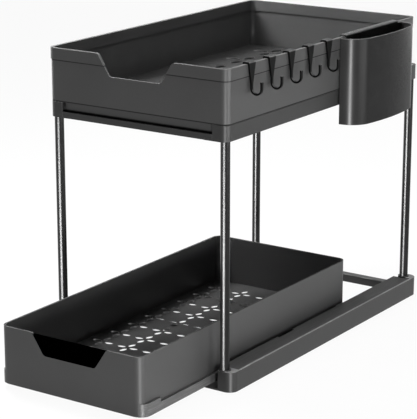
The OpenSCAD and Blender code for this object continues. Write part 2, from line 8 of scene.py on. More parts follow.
from __future__ import annotations

import logging
import math
from dataclasses import dataclass, field
from enum import Enum
from typing import Iterable, Sequence

import bmesh
import bpy
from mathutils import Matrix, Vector

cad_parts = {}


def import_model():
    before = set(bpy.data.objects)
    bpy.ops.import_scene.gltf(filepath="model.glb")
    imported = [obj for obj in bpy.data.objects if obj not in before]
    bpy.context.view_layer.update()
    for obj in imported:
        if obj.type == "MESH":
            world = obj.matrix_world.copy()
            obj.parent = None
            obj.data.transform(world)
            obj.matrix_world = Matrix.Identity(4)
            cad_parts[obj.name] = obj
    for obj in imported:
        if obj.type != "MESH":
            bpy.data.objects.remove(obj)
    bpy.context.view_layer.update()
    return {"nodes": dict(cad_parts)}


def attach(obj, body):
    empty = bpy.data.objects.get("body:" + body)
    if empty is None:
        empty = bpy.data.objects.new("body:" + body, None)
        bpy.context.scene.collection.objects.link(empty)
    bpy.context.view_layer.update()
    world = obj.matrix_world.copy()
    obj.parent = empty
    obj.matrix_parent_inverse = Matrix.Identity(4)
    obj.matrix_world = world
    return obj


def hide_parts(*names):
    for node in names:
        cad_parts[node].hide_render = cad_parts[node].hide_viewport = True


LOG = logging.getLogger("cabinet_basket")
MM = 0.001
WHITE = (1.0, 1.0, 1.0, 1.0)

# Distance between two nodes in the node editor.
NODE_STEP = 190
# Corners closer than this, in millimetres, are one corner.
MERGE_DISTANCE = 0.002
# Neighbouring faces that turn less than this, in degrees, are one face.
FLAT_ANGLE = 0.5
# A face counts as a top where its direction's upward share is above this.
TOP_SHARE = 0.7
# How far the large faces lead the shading of rounded edges, where 50 is even.
LARGE_FACE_LEAD = 80

# Upward shares of the direction at which the painted edge highlight sets in and is in full.
HIGHLIGHT_STARTS = (0.15, 0.5)
# Upward shares at which the painted edge highlight begins to leave flat tops and has left them.
HIGHLIGHT_ENDS = (0.85, 0.98)
# Noise values between which the painted edge highlight comes in patches.
HIGHLIGHT_PATCHES = (0.35, 0.65)
# Noise values between which rub marks come up.
RUB_MARKS = (0.52, 0.72)
# Noise values between which dust comes in patches.
DUST_PATCHES = (0.45, 0.8)
# How far a painted shade line fades out below and above itself, in millimetres.
SEAM_FADE_BELOW = 0.2
SEAM_FADE_ABOVE = 0.1
# Metres of outward reach by which a wall counts as an outer one.
OUTER_REACH = 0.02

# Watts per square metre of lamp at which its surface is as bright as white.
POWER_OF_WHITE = 4 * math.pi
# Width of the camera's sensor, in its own millimetres.
SENSOR_WIDTH = 36.0
# Longer side of the picture, in pixels.
PICTURE_SIDE = 419


class Side(Enum):
    """The two sides of the object, seen from its front."""

    LEFT = "left"
    RIGHT = "right"


class Row(Enum):
    """The two rows of posts."""

    FRONT = "front"
    BACK = "back"


def linear(level: float) -> float:
    """Turn a display grey level into a linear value.

    Args:
        level: Grey level from 0 to 255.

    Returns:
        The same grey as linear light, from 0 to 1.
    """
    share = level / 255
    if share <= 0.04045:
        return share / 12.92
    return ((share + 0.055) / 1.055) ** 2.4


def grey(level: float, warmth: float = 0.0) -> tuple[float, float, float, float]:
    """Make a linear colour of a display grey level, with red raised and blue lowered by a share."""
    value = linear(level)
    return (value * (1 + warmth), value, value * (1 - warmth), 1.0)


class NodeSheet:
    """A node tree, with short ways to add and join its nodes."""

    def __init__(self, tree: bpy.types.NodeTree) -> None:
        """Start with an empty tree.

        Args:
            tree: The node tree of a material or of the world.
        """
        self.tree = tree
        self.tree.nodes.clear()
        self.column = 0

    def add(self, kind: str, **values: object) -> bpy.types.Node:
        """Add a node and set its properties and inputs.

        Args:
            kind: The node type's name, without the ShaderNode prefix.
            **values: Properties by their name, inputs by their label with
                underscores for spaces, or inputs by an underscore and their
                number. A socket as value is linked.

        Returns:
            The new node.
        """
        node = self.tree.nodes.new("ShaderNode" + kind)
        node.location = (self.column * NODE_STEP, 0)
        self.column += 1
        for key, value in values.items():
            if hasattr(node, key):
                setattr(node, key, value)
                continue
            label = int(key[1:]) if key.startswith("_") else key.replace("_", " ")
            if isinstance(value, bpy.types.NodeSocket):
                self.tree.links.new(value, node.inputs[label])
            else:
                node.inputs[label].default_value = value
        return node

    def noise(self, place: bpy.types.NodeSocket, scale: float, detail: float = 3.0,
              roughness: float = 0.55) -> bpy.types.NodeSocket:
        """Add a noise pattern, with its scale in repeats per metre."""
        node = self.add("TexNoise", Vector=place, Scale=scale, Detail=detail, Roughness=roughness)
        return node.outputs["Fac"]

    def spread(self, value: bpy.types.NodeSocket, low: float, high: float,
               start: float = 0.3, end: float = 0.7) -> bpy.types.NodeSocket:
        """Map a value that runs from start to end to one that runs from low to high."""
        node = self.add("MapRange", _0=value, _1=start, _2=end, _3=low, _4=high)
        return node.outputs["Result"]

    def blend(self, share: bpy.types.NodeSocket | float, first: object,
              second: object, how: str = "MIX") -> bpy.types.NodeSocket:
        """Mix two colours, by the share of the second one."""
        node = self.add("Mix", data_type="RGBA", blend_type=how, _0=share, _6=first, _7=second)
        return node.outputs[2]

    def combine(self, first: bpy.types.NodeSocket, second: bpy.types.NodeSocket | float,
                how: str = "ADD") -> bpy.types.NodeSocket:
        """Combine two values with the arithmetic of that name."""
        return self.add("Math", operation=how, _0=first, _1=second).outputs[0]

    def times(self, first: bpy.types.NodeSocket,
              second: bpy.types.NodeSocket | float) -> bpy.types.NodeSocket:
        """Multiply two values."""
        return self.combine(first, second, "MULTIPLY")

    def background_rays(self) -> bpy.types.NodeSocket:
        """Tell rays that show the background from rays that light the object.

        Returns:
            The socket with 1 for rays from the camera, off gloss and through
            glass, and 0 for the others.
        """
        path = self.add("LightPath")
        seen = self.combine(path.outputs["Is Camera Ray"], path.outputs["Is Glossy Ray"], "MAXIMUM")
        return self.combine(seen, path.outputs["Is Transmission Ray"], "MAXIMUM")


class ShaderSheet(NodeSheet):
    """A material's node tree."""

    def __init__(self, name: str) -> None:
        """Start an empty material.

        Args:
            name: The material's name.
        """
        self.material = bpy.data.materials.new(name)
        self.material.use_nodes = True
        super().__init__(self.material.node_tree)

    def place(self) -> bpy.types.NodeSocket:
        """Give the place on the piece, in metres."""
        return self.add("TexCoord").outputs["Object"]

    def close(self, shader: bpy.types.NodeSocket) -> bpy.types.Material:
        """Join a surface shader to the output, and give the finished material."""
        self.add("OutputMaterial", Surface=shader)
        return self.material

    def surface(self, colour: bpy.types.NodeSocket, rough: bpy.types.NodeSocket,
                relief: bpy.types.NodeSocket, depth: float, gloss: float = 0.5,
                metallic: float = 0.0) -> bpy.types.Material:
        """Join colour, roughness and relief to one surface.

        Args:
            colour: Socket with the colour.
            rough: Socket with the roughness.
            relief: Socket with the height of the relief.
            depth: Depth of the relief, in millimetres.
            gloss: Specular level.
            metallic: 1 for bare metal, 0 for all else.

        Returns:
            The finished material.
        """
        bump = self.add("Bump", Strength=1.0, Distance=depth * MM, Height=relief)
        shader = self.add("BsdfPrincipled", Base_Color=colour, Roughness=rough,
                          Normal=bump.outputs[0], Specular_IOR_Level=gloss, Metallic=metallic)
        return self.close(shader.outputs[0])


@dataclass(frozen=True)
class MouldedPlastic:
    """Grey moulded plastic with a spark-eroded grain, a painted highlight on its upward edges and, where
    given, painted shade lines under steps.

    Attributes:
        name: The finish's name.
        level: Display grey level of the plastic.
        roughness: Middle roughness.
        gloss: Specular level.
        grain: Size of the fine moulded grain, in millimetres.
        depth: Depth of the grain, in millimetres.
        mottle: Share by which the grey varies over the surface.
        edge_highlight: Strength of the painted highlight on edges that face up, which are also smoother.
        highlight_lift: Steps of grey by which the painted highlight is lighter.
        streaks: Strength of rub marks along Y.
        painted_shade_lines: Painted shade lines on outer walls, under steps and between parts, each from
            a height to a height, in millimetres.
        clouds: Broad clouds of shade per metre.
        cloud_rough: Roughness that the clouds add or take away.
        grain_rough: Roughness that the fine grain adds or takes away.
        coarse: Size of the coarse grain, as a multiple of the fine one.
        coarse_height: Height of the coarse grain, as a share of the fine one.
        patch_highlight: Share of the painted highlight that is left between its patches.
        edge_polish: Roughness that the highlighted edges lose.
        rubs: Rub marks per metre of width.
        rub_squeeze: Share to which the marks' pattern is slowed along Y.
        rub_lift: Steps of grey by which rub marks are lighter.
        rub_polish: Roughness that rubbing takes away.
        painted_shade_level: Display grey level of the painted shade lines.
        seam_rough: Roughness that the painted shade lines add.
    """

    name: str
    level: float
    roughness: float = 0.46
    gloss: float = 0.5
    grain: float = 0.55
    depth: float = 0.012
    mottle: float = 0.10
    edge_highlight: float = 0.9
    highlight_lift: float = 75.0
    streaks: float = 0.0
    painted_shade_lines: tuple[tuple[float, float], ...] = ()
    clouds: float = 11.0
    cloud_rough: float = 0.04
    grain_rough: float = 0.03
    coarse: float = 6.0
    coarse_height: float = 0.6
    patch_highlight: float = 0.6
    edge_polish: float = 0.10
    rubs: float = 900.0
    rub_squeeze: float = 0.03
    rub_lift: float = 60.0
    rub_polish: float = 0.25
    painted_shade_level: float = 4.0
    seam_rough: float = 0.4

    def rub_mask(self, sheet: ShaderSheet, place: bpy.types.NodeSocket) -> bpy.types.NodeSocket:
        """Mark the streaks that sliding leaves along Y."""
        along = sheet.add("Mapping", Vector=place, Scale=(1.0, self.rub_squeeze, 1.0)).outputs[0]
        return sheet.spread(sheet.noise(along, self.rubs), 0.0, self.streaks, *RUB_MARKS)

    def edge_highlight_mask(self, sheet: ShaderSheet, normal: bpy.types.NodeSocket,
                  broad: bpy.types.NodeSocket) -> bpy.types.NodeSocket:
        """Mark the rounded edges that face up, which get a painted highlight.

        Args:
            sheet: The material's nodes.
            normal: Socket with the surface's direction.
            broad: Socket with the coarse grain.

        Returns:
            The socket with the mask.
        """
        upward = sheet.add("SeparateXYZ", _0=normal).outputs["Z"]
        edge = sheet.times(sheet.spread(upward, 0.0, self.edge_highlight, *HIGHLIGHT_STARTS),
                           sheet.spread(upward, 1.0, 0.0, *HIGHLIGHT_ENDS))
        return sheet.times(edge, sheet.spread(broad, self.patch_highlight, 1.0, *HIGHLIGHT_PATCHES))

    def painted_shade_mask(self, sheet: ShaderSheet, place: bpy.types.NodeSocket,
                  normal: bpy.types.NodeSocket) -> bpy.types.NodeSocket:
        """Mark the painted shade lines under steps and between parts.

        Args:
            sheet: The material's nodes.
            place: Socket with the place on the piece, in metres.
            normal: Socket with the surface's direction.

        Returns:
            The socket with the mask.
        """
        outward = sheet.add("VectorMath", operation="DOT_PRODUCT", _0=place, _1=normal)
        mask = sheet.spread(outward.outputs["Value"], 0.0, 1.0, 0.0, OUTER_REACH)
        height = sheet.add("SeparateXYZ", _0=place).outputs["Z"]
        lines = None
        for low, high in self.painted_shade_lines:
            below = sheet.spread(height, 0.0, 1.0, (low - SEAM_FADE_BELOW) * MM, low * MM)
            above = sheet.spread(height, 1.0, 0.0, high * MM, (high + SEAM_FADE_ABOVE) * MM)
            line = sheet.times(below, above)
            lines = line if lines is None else sheet.combine(lines, line)
        return sheet.times(mask, lines)

    def material(self) -> bpy.types.Material:
        """Build the node material.

        Returns:
            The finished material.
        """
        sheet = ShaderSheet(self.name)
        place = sheet.place()
        cloud = sheet.noise(place, self.clouds, detail=4.0)
        fine = sheet.noise(place, 1 / (self.grain * MM), detail=2.0, roughness=0.6)
        broad = sheet.noise(place, 1 / (self.coarse * self.grain * MM))
        shade = sheet.times(sheet.spread(cloud, 1 - self.mottle, 1 + self.mottle),
                            sheet.spread(fine, 1 - self.mottle, 1 + self.mottle))
        colour = sheet.blend(1.0, grey(self.level), shade, "MULTIPLY")
        rough = sheet.combine(sheet.spread(cloud, self.roughness - self.cloud_rough,
                                           self.roughness + self.cloud_rough),
                              sheet.spread(fine, -self.grain_rough, self.grain_rough))
        if self.streaks:
            rubbed = self.rub_mask(sheet, place)
            colour = sheet.blend(rubbed, colour, grey(self.level + self.rub_lift))
            rough = sheet.combine(rough, sheet.times(rubbed, -self.rub_polish))
        normal = sheet.add("NewGeometry").outputs["Normal"]
        # Painted highlight: rounded edges that face up are made lighter, in patches.
        highlighted = self.edge_highlight_mask(sheet, normal, broad)
        colour = sheet.blend(highlighted, colour, grey(self.level + self.highlight_lift))
        rough = sheet.combine(rough, sheet.times(highlighted, -self.edge_polish))
        # Painted shade: darker lines under steps and between parts.
        if self.painted_shade_lines:
            painted_shade = self.painted_shade_mask(sheet, place, normal)
            colour = sheet.blend(painted_shade, colour, grey(self.painted_shade_level))
            rough = sheet.combine(rough, sheet.times(painted_shade, self.seam_rough))
        relief = sheet.combine(fine, sheet.times(broad, self.coarse_height))
        return sheet.surface(colour, rough, relief, self.depth, self.gloss)


@dataclass(frozen=True)
class PaintedTube:
    """Glossy black paint on drawn steel tube.

    Attributes:
        name: The finish's name.
        level: Display grey level of the paint.
        roughness: Middle roughness.
        gloss: Specular level.
        depth: Depth of the paint's relief, in millimetres.
        mottle: Share by which the grey varies over the surface.
        clouds: Broad clouds of shade per metre.
        cloud_rough: Roughness that the clouds add or take away.
        peel: Dimples of the paint per metre.
        lines: Drawing lines per metre around the tube.
        line_squeeze: Share to which the lines' pattern is slowed along the tube.
        line_rough: Roughness that the lines add or take away.
        line_height: Height of the lines, as a share of the dimples'.
    """

    name: str
    level: float = 5.0
    roughness: float = 0.19
    gloss: float = 0.2
    depth: float = 0.001
    mottle: float = 0.15
    clouds: float = 25.0
    cloud_rough: float = 0.02
    peel: float = 420.0
    lines: float = 1600.0
    line_squeeze: float = 0.02
    line_rough: float = 0.01
    line_height: float = 0.1

    def material(self) -> bpy.types.Material:
        """Build the node material.

        Returns:
            The finished material.
        """
        sheet = ShaderSheet(self.name)
        place = sheet.place()
        drawn = sheet.add("Mapping", Vector=place, Scale=(1.0, 1.0, self.line_squeeze)).outputs[0]
        lines = sheet.noise(drawn, self.lines, detail=2.0)
        peel = sheet.noise(place, self.peel, detail=2.0)
        cloud = sheet.noise(place, self.clouds)
        colour = sheet.blend(sheet.spread(cloud, 0.0, 1.0), grey(self.level * (1 - self.mottle)),
                             grey(self.level * (1 + self.mottle)))
        rough = sheet.combine(sheet.spread(lines, self.roughness - self.line_rough,
                                           self.roughness + self.line_rough),
                              sheet.spread(cloud, -self.cloud_rough, self.cloud_rough))
        relief = sheet.combine(peel, sheet.times(lines, self.line_height))
        return sheet.surface(colour, rough, relief, self.depth, self.gloss)


@dataclass(frozen=True)
class PlatedSteel:
    """Bright zinc plating on small steel screws.

    Attributes:
        name: The finish's name.
        level: Display grey level of the metal.
        roughness: Middle roughness.
        warmth: Warm cast of the bright metal.
        spot_warmth: Warm cast of the spots.
        spot_drop: Steps of grey by which the spots are darker.
        spots: Spots per metre.
        polish: Roughness that bright metal has less than the middle.
        tarnish: Roughness that the spots have more than the middle.
        pits: Fine pits per metre.
        depth: Depth of the pits, in millimetres.
    """

    name: str
    level: float = 190.0
    roughness: float = 0.34
    warmth: float = 0.02
    spot_warmth: float = 0.05
    spot_drop: float = 45.0
    spots: float = 700.0
    polish: float = 0.08
    tarnish: float = 0.12
    pits: float = 4200.0
    depth: float = 0.01

    def material(self) -> bpy.types.Material:
        """Build the node material.

        Returns:
            The finished material.
        """
        sheet = ShaderSheet(self.name)
        place = sheet.place()
        spots = sheet.noise(place, self.spots, detail=4.0)
        pits = sheet.noise(place, self.pits, detail=2.0)
        colour = sheet.blend(sheet.spread(spots, 0.0, 1.0), grey(self.level, self.warmth),
                             grey(self.level - self.spot_drop, self.spot_warmth))
        rough = sheet.spread(spots, self.roughness - self.polish, self.roughness + self.tarnish)
        return sheet.surface(colour, rough, pits, self.depth, metallic=1.0)


@dataclass(frozen=True)
class Rubber:
    """Matt black rubber of the foot pads.

    Attributes:
        name: The finish's name.
        level: Display grey level of the rubber.
        gloss: Specular level.
        clean_rough: Roughness of the clean rubber.
        dusty_rough: Roughness where dust sits.
        dust: Patches of dust per metre.
        dust_share: Most dust that covers a place.
        dust_lift: Steps of grey by which dust is lighter.
        dust_warmth: Warm cast of the dust.
        pores: Pores per metre.
        depth: Depth of the pores, in millimetres.
    """

    name: str
    level: float = 34.0
    gloss: float = 0.35
    clean_rough: float = 0.74
    dusty_rough: float = 0.9
    dust: float = 160.0
    dust_share: float = 0.5
    dust_lift: float = 30.0
    dust_warmth: float = 0.03
    pores: float = 1500.0
    depth: float = 0.03

    def material(self) -> bpy.types.Material:
        """Build the node material.

        Returns:
            The finished material.
        """
        sheet = ShaderSheet(self.name)
        place = sheet.place()
        dust = sheet.noise(place, self.dust, detail=5.0, roughness=0.65)
        pores = sheet.add("TexVoronoi", Vector=place, Scale=self.pores).outputs["Distance"]
        dusty = sheet.spread(dust, 0.0, self.dust_share, *DUST_PATCHES)
        colour = sheet.blend(dusty, grey(self.level), grey(self.level + self.dust_lift, self.dust_warmth))
        rough = sheet.spread(dust, self.clean_rough, self.dusty_rough)
        return sheet.surface(colour, rough, pores, self.depth, self.gloss)


Finish = MouldedPlastic | PaintedTube | PlatedSteel | Rubber


class Palette:
    """The finishes of the object's pieces, each built once."""

    frame = MouldedPlastic("frame_grey_plastic", 32, roughness=0.40, gloss=0.27, highlight_lift=60)
    # Painted light: a lighter copy of the frame plastic on the rail tops, with rub marks.
    track = MouldedPlastic("track_painted_light_plastic", 70, roughness=0.5, gloss=0.02, grain=0.4,
                           depth=0.006, highlight_lift=20, streaks=0.15)
    # Painted highlight: a light line on the top of the rails' lip.
    lip = MouldedPlastic("rail_lip_painted_highlight", 135, roughness=0.5, gloss=0.02, grain=0.4,
                         depth=0.006, highlight_lift=20)
    # Its listed heights hold painted shade lines under the rim band and along the upper frame.
    basket = MouldedPlastic("basket_grey_plastic", 48, roughness=0.42, gloss=0.29, highlight_lift=18,
                            painted_shade_lines=((321.4, 322.45), (278.3, 279.5), (269.3, 270.2)))
    # Painted light: a lighter, matt copy of the basket plastic on the rim tops and the notch sill.
    rim = MouldedPlastic("basket_rim_painted_light", 60, roughness=0.6, gloss=0.0, highlight_lift=15)
    # Painted shade: darker copies of the basket plastic on the basket floors, with a real coarse grain.
    floor = MouldedPlastic("basket_floor_grain_painted_shade", 40, roughness=0.8, gloss=0.0, grain=1.1,
                           depth=0.05, mottle=0.35, edge_highlight=0.1, highlight_lift=30)
    upper_floor = MouldedPlastic("upper_floor_grain_painted_shade", 30, roughness=0.8, gloss=0.0, grain=1.1,
                                 depth=0.05, mottle=0.35, edge_highlight=0.1, highlight_lift=30)
    cup = MouldedPlastic("cup_black_plastic", 22, roughness=0.28, gloss=0.05, highlight_lift=60)
    ledge = MouldedPlastic("shaded_ledge_plastic", 6, roughness=0.8, gloss=0.0, highlight_lift=20)
    runner = MouldedPlastic("runner_slick_plastic", 62, roughness=0.38, gloss=0.3, grain=0.4,
                            depth=0.006, streaks=0.35)
    hook = MouldedPlastic("hook_black_plastic", 6, roughness=0.40, gloss=0.05, grain=0.4,
                          depth=0.006)
    clip = MouldedPlastic("clip_black_plastic", 5, roughness=0.6, gloss=0.0, depth=0.008, highlight_lift=20)
    pad = MouldedPlastic("glide_pad_plastic", 40, roughness=0.35, depth=0.005, streaks=0.4)
    plug = MouldedPlastic("post_plug_nylon", 150, roughness=0.5, gloss=0.4)
    post = PaintedTube("post_black_paint")
    screw = PlatedSteel("screw_zinc")
    foot = Rubber("foot_pad_rubber")

    def __init__(self) -> None:
        """Start with no material built."""
        self.built: dict[str, bpy.types.Material] = {}

    def material(self, finish: Finish) -> bpy.types.Material:
        """Give a finish's material, built at its first use.

        Args:
            finish: The finish.

        Returns:
            The material.
        """
        if finish.name not in self.built:
            self.built[finish.name] = finish.material()
        return self.built[finish.name]


@dataclass(frozen=True)
class EdgeBand:
    """A range of heights in which edges are rounded less.

    Attributes:
        low: Lower end of the range, in millimetres.
        high: Upper end of the range, in millimetres.
        share: Share of the full radius.
    """

    low: float
    high: float
    share: float


@dataclass(frozen=True)
class TopFinish:
    """Another finish for the upward faces between two heights, used for lighter and darker copies of the
    plastic that paint light and shade on those tops.

    Attributes:
        finish: The finish.
        low: Lower end of the range, in millimetres.
        high: Upper end of the range, in millimetres.
    """

    finish: Finish
    low: float
    high: float


@dataclass
class RoundedPart:
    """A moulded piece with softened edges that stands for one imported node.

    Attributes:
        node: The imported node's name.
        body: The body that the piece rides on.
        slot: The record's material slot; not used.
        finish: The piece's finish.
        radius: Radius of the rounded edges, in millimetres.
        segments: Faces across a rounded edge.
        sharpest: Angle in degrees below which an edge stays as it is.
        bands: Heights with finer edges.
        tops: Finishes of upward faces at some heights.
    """

    node: str
    body: str
    slot: str
    finish: Finish
    radius: float = 0.6
    segments: int = 3
    sharpest: float = 28.0
    bands: Sequence[EdgeBand] = ()
    tops: Sequence[TopFinish] = ()

    def share_at(self, height: float) -> float:
        """Share of the radius that an edge at this height gets.

        Args:
            height: Height in millimetres.

        Returns:
            A share from 0 to 1.
        """
        for band in self.bands:
            if band.low <= height <= band.high:
                return band.share
        return 1.0

    def raw_mesh(self, nodes: dict[str, bpy.types.Object]) -> bpy.types.Mesh:
        """Give a copy of the node's mesh to start from."""
        return nodes[self.node].data.copy()

    def mark_faces(self, shape: bmesh.types.BMesh) -> None:
        """Smooth the faces, and give the tops at some heights the finish that paints light and shade on
        them.

        Args:
            shape: The piece's cleaned mesh.
        """
        for face in shape.faces:
            face.smooth = True
            face.material_index = 0
            if face.normal.z > TOP_SHARE:
                height = face.calc_center_median().z / MM
                for index, top in enumerate(self.tops, 1):
                    if top.low <= height <= top.high:
                        face.material_index = index

    def mark_edges(self, shape: bmesh.types.BMesh) -> None:
        """Weight the edges by how far they are rounded.

        Args:
            shape: The piece's cleaned mesh.
        """
        weight = shape.edges.layers.float.get("bevel_weight_edge")
        if weight is None:
            weight = shape.edges.layers.float.new("bevel_weight_edge")
        sharpest = math.radians(self.sharpest)
        for edge in shape.edges:
            edge.smooth = True
            if len(edge.link_faces) == 2 and edge.calc_face_angle() > sharpest:
                first, second = edge.verts
                edge[weight] = self.share_at((first.co.z + second.co.z) / 2 / MM)

    def clean(self, mesh: bpy.types.Mesh) -> None:
        """Join what the packing split, and mark faces and edges.

        Args:
            mesh: The mesh, which is changed.
        """
        shape = bmesh.new()
        shape.from_mesh(mesh)
        bmesh.ops.remove_doubles(shape, verts=shape.verts, dist=MERGE_DISTANCE * MM)
        bmesh.ops.dissolve_limit(shape, angle_limit=math.radians(FLAT_ANGLE), verts=shape.verts,
                                 edges=shape.edges)
        shape.normal_update()
        self.mark_faces(shape)
        self.mark_edges(shape)
        # Clearing resets the faces' finishes, so it comes before they are written.
        mesh.materials.clear()
        shape.to_mesh(mesh)
        shape.free()
        if "custom_normal" in mesh.attributes:
            mesh.attributes.remove(mesh.attributes["custom_normal"])

    def soften(self, piece: bpy.types.Object) -> None:
        """Round the marked edges.

        Args:
            piece: The piece.
        """
        bevel = piece.modifiers.new("rounded_edges", "BEVEL")
        bevel.width = self.radius * MM
        bevel.segments = self.segments
        bevel.limit_method = "WEIGHT"
        bevel.use_clamp_overlap = True
        normals = piece.modifiers.new("even_shading", "WEIGHTED_NORMAL")
        normals.weight = LARGE_FACE_LEAD
        normals.keep_sharp = False

    def build(self, nodes: dict[str, bpy.types.Object], palette: Palette) -> bpy.types.Object:
        """Copy the node's mesh, clean it, round its edges and dress it.

        Args:
            nodes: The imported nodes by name.
            palette: The finishes.

        Returns:
            The new piece.
        """
        mesh = self.raw_mesh(nodes)
        mesh.name = self.node + "_dressed"
        self.clean(mesh)
        mesh.materials.append(palette.material(self.finish))
        for top in self.tops:
            mesh.materials.append(palette.material(top.finish))
        piece = bpy.data.objects.new(self.node + "_dressed", mesh)
        bpy.context.scene.collection.objects.link(piece)
        self.soften(piece)
        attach(piece, self.body)
        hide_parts(self.node)
        return piece


@dataclass
class CrossScrews(RoundedPart):
    """Screws whose heads get a cross recess for the driver.

    Attributes:
        head_up: Whether the heads face up.
        arm: Half the recess's length, in millimetres.
        half_width: Half the width of its arms, in millimetres.
        depth: Depth of the recess, in millimetres.
        taper: Share of the recess's size that is left at its bottom.
        over: How far the cutter stands out of the head, in millimetres.
    """

    head_up: bool = True
    arm: float = 2.3
    half_width: float = 0.5
    depth: float = 0.9
    taper: float = 0.6
    over: float = 0.1

    def head(self, points: Sequence[Vector]) -> Vector:
        """Find the middle of one screw's head.

        Args:
            points: The corners of the screw's mesh.

        Returns:
            The middle of the head's outer face, in metres.
        """
        low = Vector(min(point[axis] for point in points) for axis in range(3))
        high = Vector(max(point[axis] for point in points) for axis in range(3))
        middle = (low + high) / 2
        middle.z = high.z if self.head_up else low.z
        return middle

    def heads(self, mesh: bpy.types.Mesh) -> list[Vector]:
        """Find the middle of each screw's head.

        Args:
            mesh: The mesh of all the screws.

        Returns:
            The middle of each head's outer face, in metres.
        """
        shape = bmesh.new()
        shape.from_mesh(mesh)
        bmesh.ops.remove_doubles(shape, verts=shape.verts, dist=MERGE_DISTANCE * MM)
        seen: set[bmesh.types.BMVert] = set()
        found: list[Vector] = []
        for start in shape.verts:
            if start in seen:
                continue
            seen.add(start)
            screw = [start]
            for corner in screw:
                for edge in corner.link_edges:
                    other = edge.other_vert(corner)
                    if other not in seen:
                        seen.add(other)
                        screw.append(other)
            found.append(self.head([corner.co for corner in screw]))
        shape.free()
        return found

    def outline(self) -> list[tuple[float, float]]:
        """Draw the cross as one ring of points.

        Returns:
            The points around the recess's middle, in millimetres.
        """
        quarter = ((self.arm, self.half_width), (self.half_width, self.half_width),
                   (self.half_width, self.arm))
        points = []
        for turn in range(4):
            for x, y in quarter:
                for _ in range(turn):
                    x, y = -y, x
                points.append((x, y))
        return points

    def cutter(self, heads: Sequence[Vector]) -> bpy.types.Object:
        """Make the tapered crosses that are cut from the heads.

        Args:
            heads: The middle of each head's outer face.

        Returns:
            One object with all the crosses.
        """
        inward = -1.0 if self.head_up else 1.0
        outline = self.outline()
        shape = bmesh.new()
        for head in heads:
            rings = []
            for scale, height in ((1.0, -self.over), (self.taper, self.depth)):
                rings.append([shape.verts.new(head + Vector((x * scale, y * scale, inward * height)) * MM)
                              for x, y in outline])
            outer, inner = rings
            shape.faces.new(outer)
            shape.faces.new(inner[::-1])
            for first in range(len(outline)):
                second = (first + 1) % len(outline)
                shape.faces.new((outer[second], outer[first], inner[first], inner[second]))
        bmesh.ops.recalc_face_normals(shape, faces=shape.faces)
        mesh = bpy.data.meshes.new(self.node + "_cutter")
        shape.to_mesh(mesh)
        shape.free()
        return bpy.data.objects.new(self.node + "_cutter", mesh)

    def raw_mesh(self, nodes: dict[str, bpy.types.Object]) -> bpy.types.Mesh:
        """Copy the screws' mesh and cut the recesses.

        Args:
            nodes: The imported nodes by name.

        Returns:
            The mesh with the recesses.
        """
        plain = super().raw_mesh(nodes)
        screws = bpy.data.objects.new(self.node + "_plain", plain)
        cutter = self.cutter(self.heads(plain))
        for piece in (screws, cutter):
            bpy.context.scene.collection.objects.link(piece)
        cut = screws.modifiers.new("cross_recess", "BOOLEAN")
        cut.object = cutter
        cut.operation = "DIFFERENCE"
        cut.solver = "EXACT"
        graph = bpy.context.evaluated_depsgraph_get()
        mesh = bpy.data.meshes.new_from_object(screws.evaluated_get(graph))
        for piece in (screws, cutter):
            bpy.data.objects.remove(piece)
        return mesh


@dataclass
class Assembly:
    """A sub-assembly that makes its pieces and keeps a list of them.

    Attributes:
        nodes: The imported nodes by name.
        palette: The finishes.
        made: The pieces made so far.
    """

    nodes: dict[str, bpy.types.Object]
    palette: Palette
    made: list[bpy.types.Object] = field(default_factory=list)

    def parts(self) -> Iterable[RoundedPart]:
        """The rounded pieces of this sub-assembly."""
        return ()

    def build(self) -> list[bpy.types.Object]:
        """Make the pieces.

        Returns:
            The new pieces.
        """
        for part in self.parts():
            self.made.append(part.build(self.nodes, self.palette))
        return self.made


@dataclass
class BaseFrame(Assembly):
    """The floor frame with its pads, clips and screws.

    Attributes:
        frame_edge: Radius of the rails' and bars' edges, in millimetres.
        fine_edges: Heights and share of the rails' finer edges.
        track: Lower and upper height of the track's tops, which get a painted light finish, in
            millimetres.
        lip: Lower and upper height of the rails' lip, whose tops get a painted highlight, in millimetres.
        foot_edge: Radius of the foot pads' edges, in millimetres.
        glide_edge: Radius of the glide pads' edges, in millimetres.
        clip_edge: Radius of the stop clips' edges, in millimetres.
        screw_edge: Radius of the screws' edges, in millimetres.
    """

    frame_edge: float = 0.7
    fine_edges: EdgeBand = EdgeBand(20.9, 22.2, 0.3)
    track: tuple[float, float] = (20.5, 21.5)
    lip: tuple[float, float] = (21.7, 22.2)
    foot_edge: float = 0.35
    glide_edge: float = 0.4
    clip_edge: float = 0.3
    screw_edge: float = 0.15

    def parts(self) -> Iterable[RoundedPart]:
        """The base's pieces."""
        look = self.palette
        for side in Side:
            # The track tops get painted light and the lip tops a painted highlight.
            yield RoundedPart("base_rail_" + side.value, "stand", "frame_plastic", look.frame,
                              self.frame_edge, bands=(self.fine_edges,),
                              tops=(TopFinish(look.track, *self.track), TopFinish(look.lip, *self.lip)))
        yield RoundedPart("base_bars", "stand", "frame_plastic", look.frame, self.frame_edge)
        yield RoundedPart("foot_pads", "stand", "foot_rubber", look.foot, self.foot_edge)
        yield RoundedPart("glide_pads", "stand", "pad_plastic", look.pad, self.glide_edge)
        yield RoundedPart("lower_stop_clips", "stand", "clip_plastic", look.clip, self.clip_edge)
        yield CrossScrews("base_screws", "stand", "screw_steel", look.screw, self.screw_edge,
                          head_up=False)


@dataclass
class Posts(Assembly):
    """The four posts with their end plugs.

    Attributes:
        tube_edge: Radius of the tubes' end edges, in millimetres.
        tube_segments: Faces across those edges.
        plug_edge: Radius of the plugs' edges, in millimetres.
    """

    tube_edge: float = 0.2
    tube_segments: int = 2
    plug_edge: float = 0.3

    def parts(self) -> Iterable[RoundedPart]:
        """The posts' pieces."""
        look = self.palette
        for row in Row:
            for side in Side:
                yield RoundedPart(f"post_{row.value}_{side.value}", "stand", "post_metal",
                                  look.post, self.tube_edge, self.tube_segments)
        yield RoundedPart("lower_post_plugs", "stand", "plug_plastic", look.plug, self.plug_edge)
        yield RoundedPart("upper_post_plugs", "stand", "plug_plastic", look.plug, self.plug_edge)


